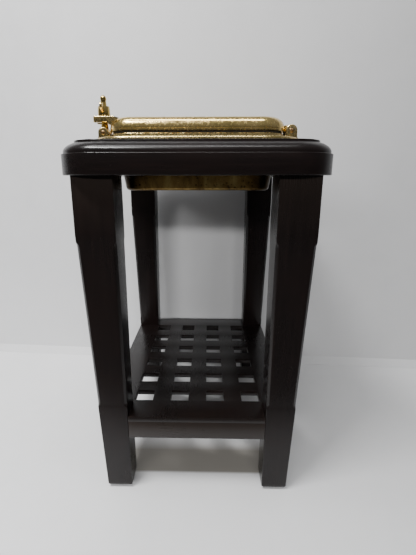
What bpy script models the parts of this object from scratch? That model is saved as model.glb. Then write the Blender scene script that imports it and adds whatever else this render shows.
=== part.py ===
"""Dark wooden stand with a grating shelf, and a lidded brass basin let into its top.

Sizes are in millimetres and become metres where meshes are made. X runs across the stand, Y runs
from front (-Y) to back (+Y), Z is up. The origin is on the floor, under the middle of the stand.
"""

import math

import bmesh
import bpy
from mathutils import Vector

MM = 0.001
GAP = 0.3  # clearance between pieces that touch

# ---- wooden stand --------------------------------------------------------------------------------
TOP_HALF = (207.0, 274.0)
TOP_CORNER = 66.0
TOP_THICK = 50.0
TOP_SURFACE = 622.0
TOP_UNDERSIDE = TOP_SURFACE - TOP_THICK
EDGE_INSET = 20.0  # from the widest line of the edge moulding to the flat of the top
FASCIA_TOP = -19.5  # heights on the moulding, counted down from the flat of the top
OVOLO_FOOT = -17.3
OVOLO_HEAD = -3.0

LEG_HALF = (185.0, 252.0)  # outer faces of the legs, before they taper
LEG_SIDE = 63.0
LEG_TAPER = 17.4  # how far an outer face has come in at the foot
TAPER_START = 483.0
LEG_TENON_SIDE = 34.0
LEG_TENON_HIGH = 22.0
GLIDE_HIGH = 6.0
GLIDE_R = 17.0
GLIDE_X = LEG_HALF[0] - LEG_SIDE + 21.0
GLIDE_Y = LEG_HALF[1] - LEG_SIDE + 21.0
NAIL_R = 2.5
NAIL_LONG = 20.0
CHAMFER = 5.0
CHAMFER_SPAN = (178.0, 472.0)
ARRIS = 0.8

SHELF_TOP = 158.0
SHELF_THICK = 10.0
HOLE_SIDE = 34.0
HOLE_PITCH = 68.0
HOLES_ACROSS = 4
HOLES_DEEP = 6
RAIL_HIGH = 34.0
RAIL_THICK = 18.0
TENON_THICK = 8.0
TENON_SHOULDER = 5.0
TENON_LONG = 23.0
CORNERS = {
    "front_left": (-1, -1),
    "front_right": (1, -1),
    "rear_left": (-1, 1),
    "rear_right": (1, 1),
}

# ---- brass basin and its frame; heights are counted from the flat of the top ---------------------
RING_HALF = (140.3, 207.5)
RING_CORNER = 40.0
RING_WIDE = 34.0
RING_FOOT = 17.0
RING_SHOULDER = 21.0
RING_CROWN = 38.3
FLANGE_MARGIN = 23.2  # from the side of the lid ring out to the edge of the flange
FLANGE_THICK = 7.0
SEAT_DEEP = 0.4  # the flange is let into the wooden top by this much
FRAME_FOOT = GAP - SEAT_DEEP
RIM_TOP = 13.4
OPENING_INSET = 22.3  # from the side of the lid ring in to the opening of the frame
BASIN_INSET = 17.8  # from the side of the lid ring in to the basin, under the wooden top
BASIN_FLOOR = -73.7
BASIN_WALL = 2.0
BASIN_BEND = 5.0
BASIN_DRAFT = 0.16
LIP_WIDE = 8.7
LIP_FOOT = -2.3
REBATE_INSET = 26.0  # insets in the lid, from the side of the ring, and heights there
RETAINER_INSET = 18.0
RETAINER_FOOT = RING_FOOT + 0.1
RETAINER_SCREW_INSET = 22.0
GLASS_SPAN = (21.0, 27.0)
GASKET_SPAN = (4.3, 11.7)
GROOVE_TOP = RING_FOOT + 2.5
FRAME_SCREW_INSET = 12.0  # from the edge of the flange

# ---- hinges on the right, dogs on the left, a pair of each ---------------------------------------
FITTING_Y = (-168.0, 168.0)
FITTING_X = 150.0
EYE_WIDE = 13.0
LUG_THICK = 7.0
HINGE_Z = 19.0
HINGE_LUG_R = 9.2
DOG_Z = 16.5
DOG_LUG_R = 8.3
PIN_R = 3.7
EAR_Z = (31.7, 41.0)
EAR_HALF = 15.0
EAR_TIP = 165.0
SLOT_HALF = 5.5
RELIEF_HALF = 10.8
SHANK_R = 4.9
BOLT_END = 73.5
WASHER_R = 10.3
WASHER_THICK = 1.5
HUB_R = (9.8, 9.2)
HUB_TOP = 57.2
WING_TOP = 61.0
WING_REACH = 20.0
WING_THICK = 4.4

WOOD = ((0.018, 0.012, 0.011), 0.32, 0.0)
BRASS = ((0.62, 0.45, 0.16), 0.24, 1.0)
DULL_BRASS = ((0.30, 0.20, 0.08), 0.42, 1.0)
GLASS = ((0.72, 0.80, 0.78), 0.04, 0.0)
RUBBER = ((0.012, 0.012, 0.012), 0.7, 0.0)
STEEL = ((0.45, 0.45, 0.46), 0.35, 1.0)


def clear_scene():
    for thing in list(bpy.data.objects):
        bpy.data.objects.remove(thing, do_unlink=True)


def new_object(name, mesh, look=None):
    thing = bpy.data.objects.new(name, mesh)
    bpy.context.scene.collection.objects.link(thing)
    if look is None:
        thing.hide_render = True
        thing.display_type = "WIRE"
        return thing
    colour, roughness, metallic = look
    material = bpy.data.materials.new(name)
    material.use_nodes = True
    shader = material.node_tree.nodes["Principled BSDF"]
    shader.inputs["Base Color"].default_value = (*colour, 1.0)
    shader.inputs["Roughness"].default_value = roughness
    shader.inputs["Metallic"].default_value = metallic
    material.diffuse_color = (*colour, 1.0)
    mesh.materials.append(material)
    return thing


def shade_round(mesh, angle=35.0):
    mesh.shade_smooth()
    mesh.set_sharp_from_angle(angle=math.radians(angle))


def loft(bm, loops, closed=False):
    """Skins a row of point loops, all with as many points, and closes the ends or the row."""
    rows = [[bm.verts.new([c * MM for c in point]) for point in loop] for loop in loops]
    count = len(rows[0])
    pairs = list(zip(rows, rows[1:]))
    if closed:
        pairs.append((rows[-1], rows[0]))
    for low, high in pairs:
        for i in range(count):
            j = (i + 1) % count
            bm.faces.new((low[i], low[j], high[j], high[i]))
    if not closed:
        bm.faces.new(rows[0])
        bm.faces.new(rows[-1])


def finish(bm, name, look=None, smooth=True):
    bmesh.ops.recalc_face_normals(bm, faces=bm.faces)
    mesh = bpy.data.meshes.new(name)
    bm.to_mesh(mesh)
    bm.free()
    if smooth:
        shade_round(mesh)
    return new_object(name, mesh, look)


def rounded_outline(half_x, half_y, radius, z, steps=6):
    """A rectangle with round corners, as points running anticlockwise."""
    points = []
    for quarter, (sx, sy) in enumerate(((1, 1), (-1, 1), (-1, -1), (1, -1))):
        centre_x = sx * (half_x - radius)
        centre_y = sy * (half_y - radius)
        for k in range(steps + 1):
            turn = math.radians(90 * (quarter + k / steps))
            points.append((centre_x + radius * math.cos(turn), centre_y + radius * math.sin(turn), z))
    return points


def inset_loops(half, corner, section, base=0.0, smallest=1.0):
    """Loops that follow a round-cornered outline, one for each (inset, height) of a section."""
    return [
        rounded_outline(half[0] - d, half[1] - d, max(corner - d, smallest), base + h)
        for d, h in section
    ]


def arc(centre, radii, start, end, steps):
    """Points on an ellipse between two angles in degrees."""
    return [
        (
            centre[0] + radii[0] * math.cos(math.radians(start + (end - start) * k / steps)),
            centre[1] + radii[1] * math.sin(math.radians(start + (end - start) * k / steps)),
        )
        for k in range(steps + 1)
    ]


def bezier(p0, p1, p2, p3, steps):
    points = []
    for k in range(steps + 1):
        t = k / steps
        weights = ((1 - t) ** 3, 3 * t * (1 - t) ** 2, 3 * t * t * (1 - t), t**3)
        points.append(tuple(sum(w * p[i] for w, p in zip(weights, (p0, p1, p2, p3))) for i in (0, 1)))
    return points


def add_turned(bm, profile, place=(0, 0, 0), axis="Z", sides=16):
    """A round solid from (radius, height) pairs along an axis through a place."""
    loops = []
    for radius, along in profile:
        loop = []
        for k in range(sides):
            turn = 2 * math.pi * (k + 0.5) / sides
            across = (radius * math.cos(turn), radius * math.sin(turn))
            local = (*across, along) if axis == "Z" else (across[0], along, across[1])
            loop.append(tuple(p + q for p, q in zip(place, local)))
        loops.append(loop)
    loft(bm, loops)


def add_box(bm, low, high):
    corners = [(low[0], low[1]), (high[0], low[1]), (high[0], high[1]), (low[0], high[1])]
    loft(bm, [[(x, y, z) for x, y in corners] for z in (low[2], high[2])])


def add_prism_y(bm, outline, low, high):
    """A solid with an outline of (x, z) points, run along Y."""
    loft(bm, [[(x, y, z) for x, z in outline] for y in (low, high)])


def add_prism_z(bm, outline, low, high):
    """A solid with an outline of (x, y) points, run along Z."""
    loft(bm, [[(x, y, z) for x, y in outline] for z in (low, high)])


def boolean(thing, tool, operation="DIFFERENCE"):
    modifier = thing.modifiers.new(operation.title(), "BOOLEAN")
    modifier.operation = operation
    modifier.solver = "EXACT"
    modifier.object = tool


def put_origin(thing, place):
    """Moves an object's origin to a place and leaves its shape where it is."""
    shift = Vector([c * MM for c in place])
    for vertex in thing.data.vertices:
        vertex.co -= shift
    thing.location = shift


# ---- the wooden stand ----------------------------------------------------------------------------
def leg_inset(z):
    """How far the outer faces of a leg have come in at a height."""
    run = TAPER_START - GLIDE_HIGH
    return LEG_TAPER * max(0.0, (TAPER_START - z) / run)


def leg_tenon_box(sx, sy, grow=0.0):
    """The stub tenon on top of a leg, or with grow its mortise in the wooden top."""
    half = LEG_TENON_SIDE / 2 + grow
    centre = (sx * (LEG_HALF[0] - LEG_SIDE / 2), sy * (LEG_HALF[1] - LEG_SIDE / 2))
    low = TOP_UNDERSIDE - (2.0 if grow == 0.0 else 1.0)
    high = TOP_UNDERSIDE + LEG_TENON_HIGH + grow
    return (centre[0] - half, centre[1] - half, low), (centre[0] + half, centre[1] + half, high)


def frame_screw_places():
    """Where twelve screws hold the brass frame, along a line inside the edge of the flange."""
    line_x = RING_HALF[0] + FLANGE_MARGIN - FRAME_SCREW_INSET
    line_y = RING_HALF[1] + FLANGE_MARGIN - FRAME_SCREW_INSET
    bend = RING_CORNER + FLANGE_MARGIN - FRAME_SCREW_INSET
    diagonal = bend * (1 - math.sqrt(0.5))
    places = [(line_x - diagonal, line_y - diagonal), (55.0, line_y), (line_x, 62.0)]
    return [(sx * x, sy * y) for x, y in places for sx in (-1, 1) for sy in (-1, 1)]


def make_table_top():
    """A thick slab with an ovolo edge, rebated for the basin's lip and open under it."""
    ovolo = bezier((3.0, OVOLO_FOOT), (3.0, -10.5), (11.5, -5.5), (EDGE_INSET, OVOLO_HEAD), 6)
    section = [(1.0, -TOP_THICK), (0.0, -TOP_THICK + 1.0), (0.0, FASCIA_TOP - 1.0), (1.0, FASCIA_TOP)]
    section += [(3.0, FASCIA_TOP + 0.4)] + ovolo + [(EDGE_INSET, -0.5), (EDGE_INSET + 0.5, 0.0)]
    loops = inset_loops(TOP_HALF, TOP_CORNER, section, TOP_SURFACE)
    seat = FLANGE_MARGIN + 0.5
    for height in (0.0, -SEAT_DEEP):
        half = [side + seat for side in RING_HALF]
        loops.append(rounded_outline(*half, RING_CORNER + seat, TOP_SURFACE + height))
    lip = basin_half(0.0)
    rebate = LIP_WIDE + 0.6
    seat_low = LIP_FOOT - GAP
    for spare, height in ((rebate, -SEAT_DEEP), (rebate, seat_low), (1.3, seat_low), (1.3, -TOP_THICK)):
        half = [side + spare for side in lip[:2]]
        loops.append(rounded_outline(*half, lip[2] + spare, TOP_SURFACE + height))
    bm = bmesh.new()
    loft(bm, loops, closed=True)
    top = finish(bm, "table_top", WOOD)
    bm = bmesh.new()
    for sx, sy in CORNERS.values():
        add_box(bm, *leg_tenon_box(sx, sy, GAP))
    for x, y in frame_screw_places():
        add_turned(bm, [(2.3, -25.5), (2.3, 1.0)], (x, y, TOP_SURFACE), sides=8)
    boolean(top, finish(bm, "table_top_holes"))


def leg_section(sx, sy, z, cut):
    """The outline of a leg at a height, as a rectangle with its four corners cut off."""
    inner = [side - LEG_SIDE for side in LEG_HALF]
    outer = [side - leg_inset(z) for side in LEG_HALF]
    points = [
        (inner[0] + cut, inner[1]),
        (outer[0] - cut, inner[1]),
        (outer[0], inner[1] + cut),
        (outer[0], outer[1] - cut),
        (outer[0] - cut, outer[1]),
        (inner[0] + cut, outer[1]),
        (inner[0], outer[1] - cut),
        (inner[0], inner[1] + cut),
    ]
    return [(sx * x, sy * y, z) for x, y in points]


def rail_line(axis, z):
    """The outer face of a rail at a height, which is flush with the legs' outer faces."""
    return LEG_HALF[axis] - leg_inset(z)


def tenon_box(axis, sx, sy, grow=0.0):
    """The tenon at one end of a rail that runs along an axis, or with grow its mortise."""
    across = 1 - axis
    sign = (sx, sy)
    middle = rail_line(across, SHELF_TOP - SHELF_THICK - RAIL_HIGH / 2) - RAIL_THICK / 2
    shoulder = LEG_HALF[axis] - LEG_SIDE
    spans = [None, None, None]
    along = (shoulder - 1.0, shoulder + TENON_LONG + grow)
    thick = (middle - TENON_THICK / 2 - grow, middle + TENON_THICK / 2 + grow)
    spans[axis] = sorted(sign[axis] * v for v in along)
    spans[across] = sorted(sign[across] * v for v in thick)
    bottom = SHELF_TOP - SHELF_THICK - RAIL_HIGH
    spans[2] = [bottom + TENON_SHOULDER - grow, bottom + RAIL_HIGH - TENON_SHOULDER + grow]
    return [s[0] for s in spans], [s[1] for s in spans]


def make_leg(place, sx, sy):
    levels = [
        (GLIDE_HIGH, 2.5),
        (GLIDE_HIGH + 2.0, ARRIS),
        (CHAMFER_SPAN[0], ARRIS),
        (CHAMFER_SPAN[0] + 6.0, CHAMFER),
        (CHAMFER_SPAN[1] - 6.0, CHAMFER),
        (CHAMFER_SPAN[1], ARRIS),
        (TAPER_START, ARRIS),
        (TOP_UNDERSIDE - GAP, ARRIS),
    ]
    bm = bmesh.new()
    loft(bm, [leg_section(sx, sy, z, cut) for z, cut in levels])
    leg = finish(bm, f"leg_{place}", WOOD, smooth=False)
    bm = bmesh.new()
    add_box(bm, *leg_tenon_box(sx, sy))
    boolean(leg, finish(bm, f"leg_{place}_tenon"), "UNION")
    bm = bmesh.new()
    for axis in (0, 1):
        add_box(bm, *tenon_box(axis, sx, sy, grow=GAP))
    nail = [(NAIL_R + GAP, -1.0), (NAIL_R + GAP, NAIL_LONG + GAP)]
    add_turned(bm, nail, (sx * GLIDE_X, sy * GLIDE_Y, GLIDE_HIGH), sides=8)
    boolean(leg, finish(bm, f"leg_{place}_holes"))


def shelf_screw_places():
    """Screws that run up through the two long rails into the shelf."""
    x = rail_line(0, SHELF_TOP - SHELF_THICK) - RAIL_THICK / 2
    return [(side * x, end * 110.0) for side in (-1, 1) for end in (-1, 1)]


def make_rail(name, axis, side):
    """A rail along an axis on one side, with a tenon at each end."""
    across = 1 - axis
    bottom = SHELF_TOP - SHELF_THICK - RAIL_HIGH
    top = bottom + RAIL_HIGH - GAP
    reach = LEG_HALF[axis] - LEG_SIDE - GAP
    inner = rail_line(across, SHELF_TOP) - RAIL_THICK
    outer_bottom = rail_line(across, bottom)
    outer_top = rail_line(across, top)
    face = [(inner, bottom), (outer_bottom, bottom), (outer_top, top), (inner, top)]
    bm = bmesh.new()
    loops = []
    for end in (-reach, reach):
        loop = []
        for out, z in face:
            point = [0.0, 0.0, z]
            point[axis] = end
            point[across] = side * out
            loop.append(tuple(point))
        loops.append(loop)
    loft(bm, loops)
    rail = finish(bm, name, WOOD, smooth=False)
    bm = bmesh.new()
    for end in (-1, 1):
        signs = (end, side) if axis == 0 else (side, end)
        add_box(bm, *tenon_box(axis, *signs))
    boolean(rail, finish(bm, f"{name}_tenons"), "UNION")
    if axis == 0:
        return
    bm = bmesh.new()
    for x, y in shelf_screw_places():
        if x * side > 0:
            hole = [(5.0, -1.0), (5.0, 0.6), (2.5, 3.1), (2.5, RAIL_HIGH + 1.0)]
            add_turned(bm, hole, (x, y, bottom), sides=8)
    boolean(rail, finish(bm, f"{name}_holes"))


def make_shelf():
    """A flat board, notched round the legs and flush with the rails, with a grid of square holes."""
    low, high = SHELF_TOP - SHELF_THICK, SHELF_TOP
    notch = [side - LEG_SIDE - GAP for side in LEG_HALF]
    loops = []
    for z, cut in ((low, 0.0), (high - ARRIS, 0.0), (high, ARRIS)):
        edge = [rail_line(axis, z) - cut for axis in (0, 1)]
        inner = [side - cut for side in notch]
        quarter = [(edge[0], inner[1]), (inner[0], inner[1]), (inner[0], edge[1])]
        back = quarter + [(-x, y) for x, y in reversed(quarter)]
        loops.append([(x, y, z) for x, y in back + mirrored_y(back)])
    bm = bmesh.new()
    loft(bm, loops)
    shelf = finish(bm, "shelf_grating", WOOD, smooth=False)
    bm = bmesh.new()
    for i in range(HOLES_ACROSS):
        for j in range(HOLES_DEEP):
            x = (i - (HOLES_ACROSS - 1) / 2) * HOLE_PITCH
            y = (j - (HOLES_DEEP - 1) / 2) * HOLE_PITCH
            half = HOLE_SIDE / 2
            add_box(bm, (x - half, y - half, low - 1), (x + half, y + half, high + 1))
    for x, y in shelf_screw_places():
        add_turned(bm, [(2.5, -1.0), (2.5, 7.5)], (x, y, low), sides=8)
    boolean(shelf, finish(bm, "shelf_holes"))


def mirrored_y(points):
    return [(x, -y) for x, y in reversed(points)]


def make_copies(name, profile, places, z, look, sides=8):
    """The same turned piece at several (x, y) places, one object each with a shared mesh."""
    bm = bmesh.new()
    add_turned(bm, profile, sides=sides)
    first = finish(bm, f"{name}_1", look)
    first.location = (places[0][0] * MM, places[0][1] * MM, z * MM)
    for number, (x, y) in enumerate(places[1:], 2):
        copy = bpy.data.objects.new(f"{name}_{number}", first.data)
        bpy.context.scene.collection.objects.link(copy)
        copy.location = (x * MM, y * MM, z * MM)


def make_screws():
    long = RAIL_HIGH + 5.5
    profile = [(4.4, 0.4), (2.0, 2.8), (2.0, long)]
    bottom = SHELF_TOP - SHELF_THICK - RAIL_HIGH
    make_copies("shelf_screw", profile, shelf_screw_places(), bottom, STEEL)
    profile = [(2.0, -24.0), (2.0, 4.4), (4.3, 6.7)]
    make_copies("frame_screw", profile, frame_screw_places(), TOP_SURFACE, BRASS)
    profile = [(3.1, 0.2), (1.5, 1.8), (1.5, 9.0)]
    make_copies("retainer_screw", profile, retainer_screw_places(), TOP_SURFACE + RETAINER_FOOT, BRASS)


def make_glide(place, sx, sy):
    profile = [(GLIDE_R - 1.2, 0.0), (GLIDE_R, 1.2), (GLIDE_R, GLIDE_HIGH - GAP)]
    nail_end = GLIDE_HIGH + NAIL_LONG
    profile += [(NAIL_R, GLIDE_HIGH - GAP), (NAIL_R, nail_end - 3.0), (0.6, nail_end)]
    bm = bmesh.new()
    add_turned(bm, profile, (sx * GLIDE_X, sy * GLIDE_Y, 0.0), sides=12)
    finish(bm, f"glide_{place}", RUBBER)


# ---- the basin and its frame ---------------------------------------------------------------------
def basin_half(height):
    """The basin's outside half widths and corner radius at a height."""
    inset = BASIN_INSET + BASIN_DRAFT * max(0.0, -TOP_THICK - height)
    return RING_HALF[0] - inset, RING_HALF[1] - inset, RING_CORNER - inset


def make_basin():
    """A pressed pan: a lip that rests in the wooden top, drafted sides, a round bend and a floor."""
    loops = []

    def level(height, inwards=0.0):
        half_x, half_y, corner = basin_half(height)
        loops.append(
            rounded_outline(half_x - inwards, half_y - inwards, corner - inwards, TOP_SURFACE + height)
        )

    bend = arc((0, 0), (1, 1), 0, 90, 3)
    for across, down in reversed(bend):
        level(BASIN_FLOOR + BASIN_BEND * (1 - down), BASIN_BEND * (1 - across))
    level(-TOP_THICK)
    level(LIP_FOOT)
    level(LIP_FOOT, -LIP_WIDE)
    level(-SEAT_DEEP, -LIP_WIDE)
    level(-SEAT_DEEP, BASIN_WALL)
    level(-TOP_THICK, BASIN_WALL)
    inner_bend = BASIN_BEND - BASIN_WALL
    for across, down in bend:
        rise = BASIN_WALL + inner_bend * (1 - down)
        level(BASIN_FLOOR + rise, BASIN_WALL + inner_bend * (1 - across))
    bm = bmesh.new()
    loft(bm, loops)
    finish(bm, "basin", DULL_BRASS)


def lug_outline(x, z, radius, foot, steps=8):
    """An upright lug seen along Y: a spread foot, straight sides and a round top about a pin."""
    side = [(x + radius + 3.0, foot), (x + radius + 3.0, foot + 3.6), (x + radius, foot + 7.5)]
    other = [(2 * x - px, pz) for px, pz in reversed(side)]
    return side + arc((x, z), (radius, radius), 0, 180, steps) + other


def fitting_spans(y, width=EYE_WIDE, thick=LUG_THICK):
    """The two lugs on either side of an eye, along Y."""
    near = width / 2 + GAP
    return [(y - near - thick, y - near), (y + near, y + near + thick)]


def make_frame():
    half = [side + FLANGE_MARGIN for side in RING_HALF]
    rim = FLANGE_MARGIN + 1.0
    opening = FLANGE_MARGIN + OPENING_INSET
    edge = arc((3.8, FLANGE_THICK - 3.8), (3.8, 3.8), 180, 90, 4)
    section = [(0.8, FRAME_FOOT), (0.0, FRAME_FOOT + 0.8)] + edge
    section += [(rim - 1.2, FLANGE_THICK), (rim, FLANGE_THICK + 1.2)]
    section += [(rim, RIM_TOP - 0.8), (rim + 0.8, RIM_TOP), (opening - 0.8, RIM_TOP)]
    section += [(opening, RIM_TOP - 0.8), (opening, FRAME_FOOT)]
    bm = bmesh.new()
    corner = RING_CORNER + FLANGE_MARGIN
    loft(bm, inset_loops(half, corner, section, TOP_SURFACE), closed=True)
    frame = finish(bm, "porthole_frame", BRASS)
    bm = bmesh.new()
    for x, z, radius in ((FITTING_X, HINGE_Z, HINGE_LUG_R), (-FITTING_X, DOG_Z, DOG_LUG_R)):
        outline = lug_outline(x, TOP_SURFACE + z, radius, TOP_SURFACE + 3.0)
        for y in FITTING_Y:
            for low, high in fitting_spans(y):
                add_prism_y(bm, outline, low, high)
    boolean(frame, finish(bm, "frame_lugs"), "UNION")
    bm = bmesh.new()
    for x, y in frame_screw_places():
        hole = [(2.4, -1.0), (2.4, 4.4), (4.8, 6.8), (4.8, 9.0)]
        add_turned(bm, hole, (x, y, TOP_SURFACE), sides=12)
    for x, z in ((FITTING_X, HINGE_Z), (-FITTING_X, DOG_Z)):
        for y in FITTING_Y:
            hole = [(PIN_R + GAP, -18.0), (PIN_R + GAP, 18.0)]
            add_turned(bm, hole, (x, y, TOP_SURFACE + z), axis="Y", sides=8)
    boolean(frame, finish(bm, "frame_holes"))


# ---- the lid -------------------------------------------------------------------------------------
def retainer_screw_places():
    line_x = RING_HALF[0] - RETAINER_SCREW_INSET
    line_y = RING_HALF[1] - RETAINER_SCREW_INSET
    places = [(line_x, 90.0), (60.0, line_y)]
    return [(sx * x, sy * y) for x, y in places for sx in (-1, 1) for sy in (-1, 1)]


def make_ear(bm_add, bm_slot, y):
    """A forked ear of the lid, with rounded prongs, and the tools that relieve its seat."""
    tip, far, inner = -EAR_TIP, EAR_HALF, SLOT_HALF
    half = [(-120.0, -far)]
    half += arc((tip + 4.5, -far + 4.5), (4.5, 4.5), 270, 180, 4)
    half += arc((tip + 4.0, -inner - 4.0), (4.0, 4.0), 180, 90, 4)
    half += arc((-FITTING_X, 0.0), (inner, inner), 270, 360, 4)
    outline = half + mirrored_y(half[:-1])
    outline = [(x, y + off) for x, off in outline]
    add_prism_z(bm_add[0], outline, TOP_SURFACE + EAR_Z[0], TOP_SURFACE + EAR_Z[1])
    low, high = TOP_SURFACE + EAR_Z[0] - 4.0, TOP_SURFACE + EAR_Z[0] + 2.0
    web = [(-142.5, high), (-142.3, low + 3.8), (-140.0, low + 2.4), (-138.4, low)]
    web += [(-134.0, low), (-134.0, high)]
    add_prism_y(bm_add[1], web, y - EAR_HALF, y + EAR_HALF)
    slope = [(-134.0, EAR_Z[1]), (-118.0, RING_CROWN - 1.0), (-118.0, EAR_Z[1] + 5), (-134.0, EAR_Z[1] + 5)]
    add_prism_y(bm_slot, [(x, TOP_SURFACE + z) for x, z in slope], y - EAR_HALF - 1, y + EAR_HALF + 1)
    reach = EAR_Z[1] - DOG_Z - 0.1
    seat = [(-FITTING_X - reach * math.sin(a), DOG_Z + reach * math.cos(a)) for a in relief_angles()]
    seat += [(-EAR_TIP - 6.0, seat[-1][1]), (-EAR_TIP - 6.0, EAR_Z[1] + 5), (-FITTING_X, EAR_Z[1] + 5)]
    add_prism_y(bm_slot, [(x, TOP_SURFACE + z) for x, z in seat], y - RELIEF_HALF, y + RELIEF_HALF)


def relief_angles():
    widest = math.asin((EAR_TIP - FITTING_X + 1.0) / (EAR_Z[1] - DOG_Z))
    return [widest * k / 6 for k in range(7)]


def make_lid_ring():
    middle = RING_WIDE / 2
    outer_dome = arc((middle, RING_SHOULDER), (middle, RING_CROWN - RING_SHOULDER), 180, 90, 6)
    inner_dome = arc((middle, 29.5), (middle, RING_CROWN - 29.5), 90, 0, 5)[1:]
    ledge = GLASS_SPAN[1] + GAP
    section = [(0.8, RING_FOOT), (0.0, RING_FOOT + 0.8)] + outer_dome + inner_dome
    section += [(RING_WIDE, ledge), (REBATE_INSET, ledge), (REBATE_INSET, GLASS_SPAN[0])]
    section += [(RETAINER_INSET, GLASS_SPAN[0]), (RETAINER_INSET, RING_FOOT)]
    groove = (GASKET_SPAN[1] + GAP, GASKET_SPAN[0] - GAP)
    section += [(groove[0], RING_FOOT), (groove[0], GROOVE_TOP)]
    section += [(groove[1], GROOVE_TOP), (groove[1], RING_FOOT)]
    bm = bmesh.new()
    loft(bm, inset_loops(RING_HALF, RING_CORNER, section, TOP_SURFACE), closed=True)
    ring = finish(bm, "lid_ring", BRASS)
    plates, webs, cuts = bmesh.new(), bmesh.new(), bmesh.new()
    for y in FITTING_Y:
        make_ear((plates, webs), cuts, y)
    knuckles, arms = bmesh.new(), bmesh.new()
    for y in FITTING_Y:
        radius = HINGE_LUG_R - 0.6
        span = [(radius, -EYE_WIDE / 2), (radius, EYE_WIDE / 2)]
        add_turned(knuckles, span, (FITTING_X, y, TOP_SURFACE + HINGE_Z), axis="Y", sides=16)
        low = (137.0, y - EYE_WIDE / 2 + 0.4, TOP_SURFACE + RING_FOOT + 0.4)
        high = (FITTING_X, y + EYE_WIDE / 2 - 0.4, TOP_SURFACE + HINGE_Z + radius - 0.4)
        add_box(arms, low, high)
    tools = {"ear_plates": plates, "ear_webs": webs, "lid_arms": arms, "lid_knuckles": knuckles}
    for name, tool in tools.items():
        boolean(ring, finish(tool, name), "UNION")
    for y in FITTING_Y:
        hole = [(PIN_R + GAP, -18.0), (PIN_R + GAP, 18.0)]
        add_turned(cuts, hole, (FITTING_X, y, TOP_SURFACE + HINGE_Z), axis="Y", sides=12)
    for x, y in retainer_screw_places():
        hole = [(1.9, -1.0), (1.9, 7.5)]
        add_turned(cuts, hole, (x, y, TOP_SURFACE + GLASS_SPAN[0]), sides=8)
    boolean(ring, finish(cuts, "lid_cuts"))
    put_origin(ring, (FITTING_X, 0.0, TOP_SURFACE + HINGE_Z))


def make_band(name, section, look):
    bm = bmesh.new()
    loft(bm, inset_loops(RING_HALF, RING_CORNER, section, TOP_SURFACE), closed=True)
    return finish(bm, name, look)


def make_lid_parts():
    low, high = GASKET_SPAN
    top = GROOVE_TOP - GAP
    foot = RIM_TOP + GAP
    make_band("lid_gasket", [(low, top), (low, foot), (high, foot), (high, top)], RUBBER)
    outer, inner = RETAINER_INSET + GAP, RING_WIDE + 2.0
    foot, top = RETAINER_FOOT, GLASS_SPAN[0] - GAP
    section = [(outer, top), (outer, foot), (inner - 1.0, foot), (inner, foot + 1.0), (inner, top)]
    retainer = make_band("glass_retainer", section, BRASS)
    bm = bmesh.new()
    for x, y in retainer_screw_places():
        hole = [(3.6, -1.0), (3.6, 0.4), (1.9, 2.1), (1.9, 5.0)]
        add_turned(bm, hole, (x, y, TOP_SURFACE + foot), sides=8)
    boolean(retainer, finish(bm, "retainer_holes"))
    inset = REBATE_INSET + GAP
    half = [side - inset for side in RING_HALF]
    corner = RING_CORNER - inset
    low, high = GLASS_SPAN
    section = [(ARRIS, low), (0.0, low + ARRIS), (0.0, high - ARRIS), (ARRIS, high)]
    bm = bmesh.new()
    loft(bm, inset_loops(half, corner, section, TOP_SURFACE))
    finish(bm, "glass_pane", GLASS)


# ---- pins and dogs -------------------------------------------------------------------------------
def make_pin(name, x, y, z):
    half = EYE_WIDE / 2 + GAP + LUG_THICK + 0.4
    profile = [(PIN_R - 1.2, -half), (PIN_R, -half + 0.8), (PIN_R, half - 0.8), (PIN_R - 1.2, half)]
    bm = bmesh.new()
    add_turned(bm, profile, (x, y, TOP_SURFACE + z), axis="Y", sides=12)
    finish(bm, name, BRASS)


def make_swing_bolt(end, y):
    """An eye on the pin, a neck that narrows, and a straight shank with a round end."""
    place = (-FITTING_X, y, TOP_SURFACE)
    neck = [(3.0, DOG_Z + 3.5), (6.3, DOG_Z + 4.0), (6.2, DOG_Z + 8.5), (SHANK_R, EAR_Z[0] - 1.5)]
    dome = arc((0, BOLT_END - SHANK_R), (SHANK_R, SHANK_R), 0, 80, 4)
    bm = bmesh.new()
    add_turned(bm, neck + dome, place, sides=16)
    bolt = finish(bm, f"swing_bolt_{end}", BRASS)
    bm = bmesh.new()
    half = EYE_WIDE / 2
    eye_r = DOG_LUG_R - 0.5
    eye = [(eye_r - 0.8, -half), (eye_r, -half + 0.8), (eye_r, half - 0.8), (eye_r - 0.8, half)]
    add_turned(bm, eye, (-FITTING_X, y, TOP_SURFACE + DOG_Z), axis="Y", sides=16)
    boolean(bolt, finish(bm, f"bolt_eye_{end}"), "UNION")
    bm = bmesh.new()
    hole = [(PIN_R + GAP, -half - 2), (PIN_R + GAP, half + 2)]
    add_turned(bm, hole, (-FITTING_X, y, TOP_SURFACE + DOG_Z), axis="Y", sides=12)
    boolean(bolt, finish(bm, f"bolt_hole_{end}"))
    put_origin(bolt, (-FITTING_X, y, TOP_SURFACE + DOG_Z))


def ring_profile(bm, profile, place, sides):
    """A turned solid with a hole through it, from a closed (radius, height) profile."""
    turns = [2 * math.pi * (k + 0.5) / sides for k in range(sides)]
    x, y, z = place
    loops = [
        [(x + radius * math.cos(t), y + radius * math.sin(t), z + along) for t in turns]
        for radius, along in profile
    ]
    loft(bm, loops, closed=True)


def make_washer(end, y):
    low = EAR_Z[1] + GAP
    high = low + WASHER_THICK
    inner = SHANK_R + GAP
    profile = [(WASHER_R, low), (WASHER_R, high), (inner, high), (inner, low)]
    bm = bmesh.new()
    ring_profile(bm, profile, (-FITTING_X, y, TOP_SURFACE), 16)
    washer = finish(bm, f"dog_washer_{end}", BRASS)
    put_origin(washer, (-FITTING_X, y, TOP_SURFACE + low))


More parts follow.
